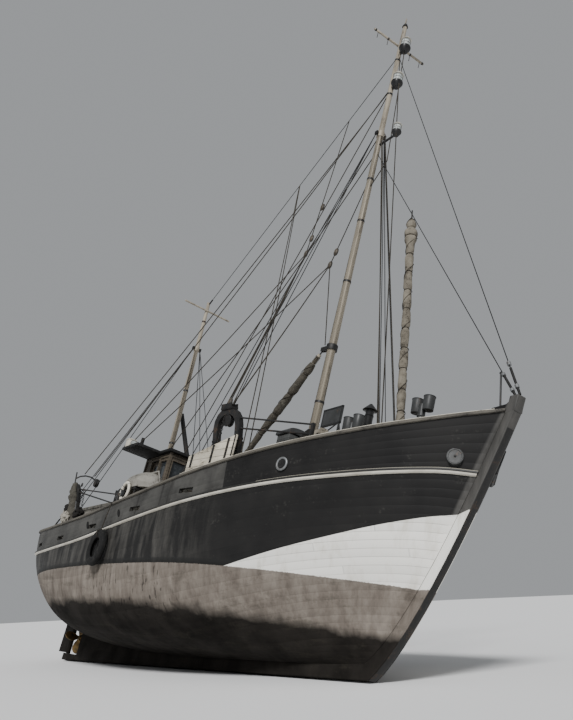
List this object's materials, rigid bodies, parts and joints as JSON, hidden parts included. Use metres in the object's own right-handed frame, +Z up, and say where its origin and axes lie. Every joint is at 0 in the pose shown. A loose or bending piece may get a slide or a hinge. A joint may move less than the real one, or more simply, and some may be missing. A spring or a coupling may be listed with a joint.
{
  "type": "fishing trawler",
  "caption": "Wooden two-masted side trawler lying aground on her keel and bilge, with wheelhouse, gallows, winch, boom and steadying sails furled.",
  "frame": {"origin": "centre of the boat's footprint on the ground she lies on", "axes": "+X to the bow, +Y to port, +Z up; she is heeled to port on her bilge"},
  "size_m": [24.101, 9.8814, 21.2509],
  "materials": {
    "hull_paint": "worn black paint on planks, satin",
    "topside_paint": "worn black paint on planks, satin",
    "bottom_paint": "faded antifouling with dried mud, matt",
    "bare_rail": "worn oak, scraped and oiled",
    "rub_paint": "off-white gloss, scuffed",
    "deck_wood": "bare pine planks, weathered",
    "bronze": "dull cast bronze",
    "machinery": "painted cast iron, oily",
    "house_paint": "light grey paint, weathered",
    "house_wood": "varnished boards, worn",
    "window_glass": "clear sheet",
    "black_paint": "black paint, matt",
    "spar_wood": "scraped pine, oiled",
    "boat_paint": "off-white paint, chalky",
    "deck_steel": "dark paint over steel, rusty",
    "wire_rope": "tarred galvanised wire",
    "sail_cloth": "canvas, furled and lashed",
    "net_twine": "tarred twine",
    "board_wood": "pale paint over boards, scraped",
    "board_paint": "off-white paint",
    "tyre_rubber": "old tyre, scuffed",
    "galvanised": "galvanised, stained"
  },
  "bodies": {
    "boat": {"hull": "hull_paint", "forecastle": "topside_paint", "bulwark_port": "topside_paint", "bulwark_starboard": "topside_paint", "rail_cap": "bare_rail", "rub_rail": "rub_paint", "main_deck": "deck_wood", "foredeck": "deck_wood", "backbone": "bottom_paint", "engine_block": "machinery", "engine_casing": "house_paint", "wheelhouse": "house_wood", "front_glass": "window_glass", "wheelhouse_roof": "black_paint", "helm": "spar_wood", "exhaust_stack": "black_paint", "dinghy": "boat_paint", "dinghy_skids": "deck_steel", "foremast": "spar_wood", "mizzen_mast": "spar_wood", "masthead_lantern": "black_paint", "upper_lantern": "black_paint", "steaming_lantern": "black_paint", "fore_shrouds_port": "wire_rope", "mizzen_shrouds_port": "wire_rope", "fore_shrouds_starboard": "wire_rope", "mizzen_shrouds_starboard": "wire_rope", "topmast_stay": "wire_rope", "forestay": "wire_rope", "triatic_stay": "wire_rope", "furled_staysail": "sail_cloth", "hatch_coaming": "house_wood", "winch_frame": "deck_steel", "windlass_frame": "deck_steel", "fore_gallows": "deck_steel", "aft_gallows": "deck_steel", "net_bundle": "net_twine", "otter_board": "board_wood", "companion": "house_paint", "net_heap": "sail_cloth", "sign_board": "board_paint", "vent_aft": "deck_steel", "vent_fore": "deck_steel", "galley_funnel": "black_paint", "life_ring": "boat_paint", "tyre_fender": "tyre_rubber", "anchor": "galvanised"},
    "rudder": {"rudder": "bottom_paint"},
    "propeller": {"propeller": "bronze"},
    "casing_door": {"casing_door": "house_paint"},
    "wheelhouse_door_port": {"wheelhouse_door_port": "house_wood"},
    "wheelhouse_door_starboard": {"wheelhouse_door_starboard": "house_wood"},
    "skylight_lid_port": {"skylight_lid_port": "house_paint"},
    "skylight_lid_starboard": {"skylight_lid_starboard": "house_paint"},
    "hatch_cover": {"hatch_cover": "deck_wood"},
    "companion_hood": {"companion_hood": "house_paint"},
    "gooseneck": {"gooseneck": "deck_steel"},
    "boom": {"boom": "sail_cloth"},
    "winch_drums": {"winch_drums": "machinery"},
    "windlass_barrel": {"windlass_barrel": "machinery"}
  },
  "joints": [
    {"name": "rudder_swing", "type": "hinge", "parent": "boat", "child": "rudder", "pos_m": [-9.43675, -2.14059, 1.02316], "axis": [0.032, 0.294, 0.9553], "range_deg": [-35, 35]},
    {"name": "propeller_spin", "type": "hinge", "parent": "boat", "child": "propeller", "pos_m": [-8.71325, -2.19645, 0.8172], "axis": [0.9994, 0, -0.0335], "continuous": true},
    {"name": "casing_door_hinge", "type": "hinge", "parent": "boat", "child": "casing_door", "pos_m": [-8.70102, -0.83234, 3.98756], "axis": [-0.032, -0.294, -0.9553], "range_deg": [0, 110]},
    {"name": "wheelhouse_door_port_slide", "type": "slide", "parent": "boat", "child": "wheelhouse_door_port", "axis": [-0.9994, 0, 0.0335], "range_m": [0, 0.4]},
    {"name": "wheelhouse_door_starboard_slide", "type": "slide", "parent": "boat", "child": "wheelhouse_door_starboard", "axis": [-0.9994, 0, 0.0335], "range_m": [0, 0.4]},
    {"name": "skylight_lid_port_hinge", "type": "hinge", "parent": "boat", "child": "skylight_lid_port", "pos_m": [-7.76654, -0.83681, 5.18032], "axis": [0.9994, 0, -0.0335], "range_deg": [0, 75]},
    {"name": "skylight_lid_starboard_hinge", "type": "hinge", "parent": "boat", "child": "skylight_lid_starboard", "pos_m": [-7.76638, -0.8521, 5.18502], "axis": [-0.9994, 0, 0.0335], "range_deg": [0, 75]},
    {"name": "hatch_cover_hinge", "type": "hinge", "parent": "boat", "child": "hatch_cover", "pos_m": [2.06711, -1.03632, 4.22901], "axis": [0.0099, -0.9558, 0.2939], "range_deg": [0, 95]},
    {"name": "companion_hood_slide", "type": "slide", "parent": "boat", "child": "companion_hood", "axis": [-0.9994, 0, 0.0335], "range_m": [0, 0.45]},
    {"name": "boom_slew", "type": "hinge", "parent": "boat", "child": "gooseneck", "pos_m": [4.47456, 0.40286, 8.82907], "axis": [0.032, 0.294, 0.9553], "range_deg": [-56, 33]},
    {"name": "boom_topping", "type": "hinge", "parent": "gooseneck", "child": "boom", "pos_m": [4.15251, 0.33782, 8.85988], "axis": [-0.2157, 0.9353, -0.2807], "range_deg": [0, 95]},
    {"name": "winch_spin", "type": "hinge", "parent": "boat", "child": "winch_drums", "pos_m": [-0.65499, -1.16143, 3.91335], "axis": [-0.0099, 0.9558, -0.2939], "continuous": true},
    {"name": "windlass_spin", "type": "hinge", "parent": "boat", "child": "windlass_barrel", "pos_m": [8.98821, -0.71529, 5.04112], "axis": [-0.0099, 0.9558, -0.2939], "continuous": true}
  ]
}
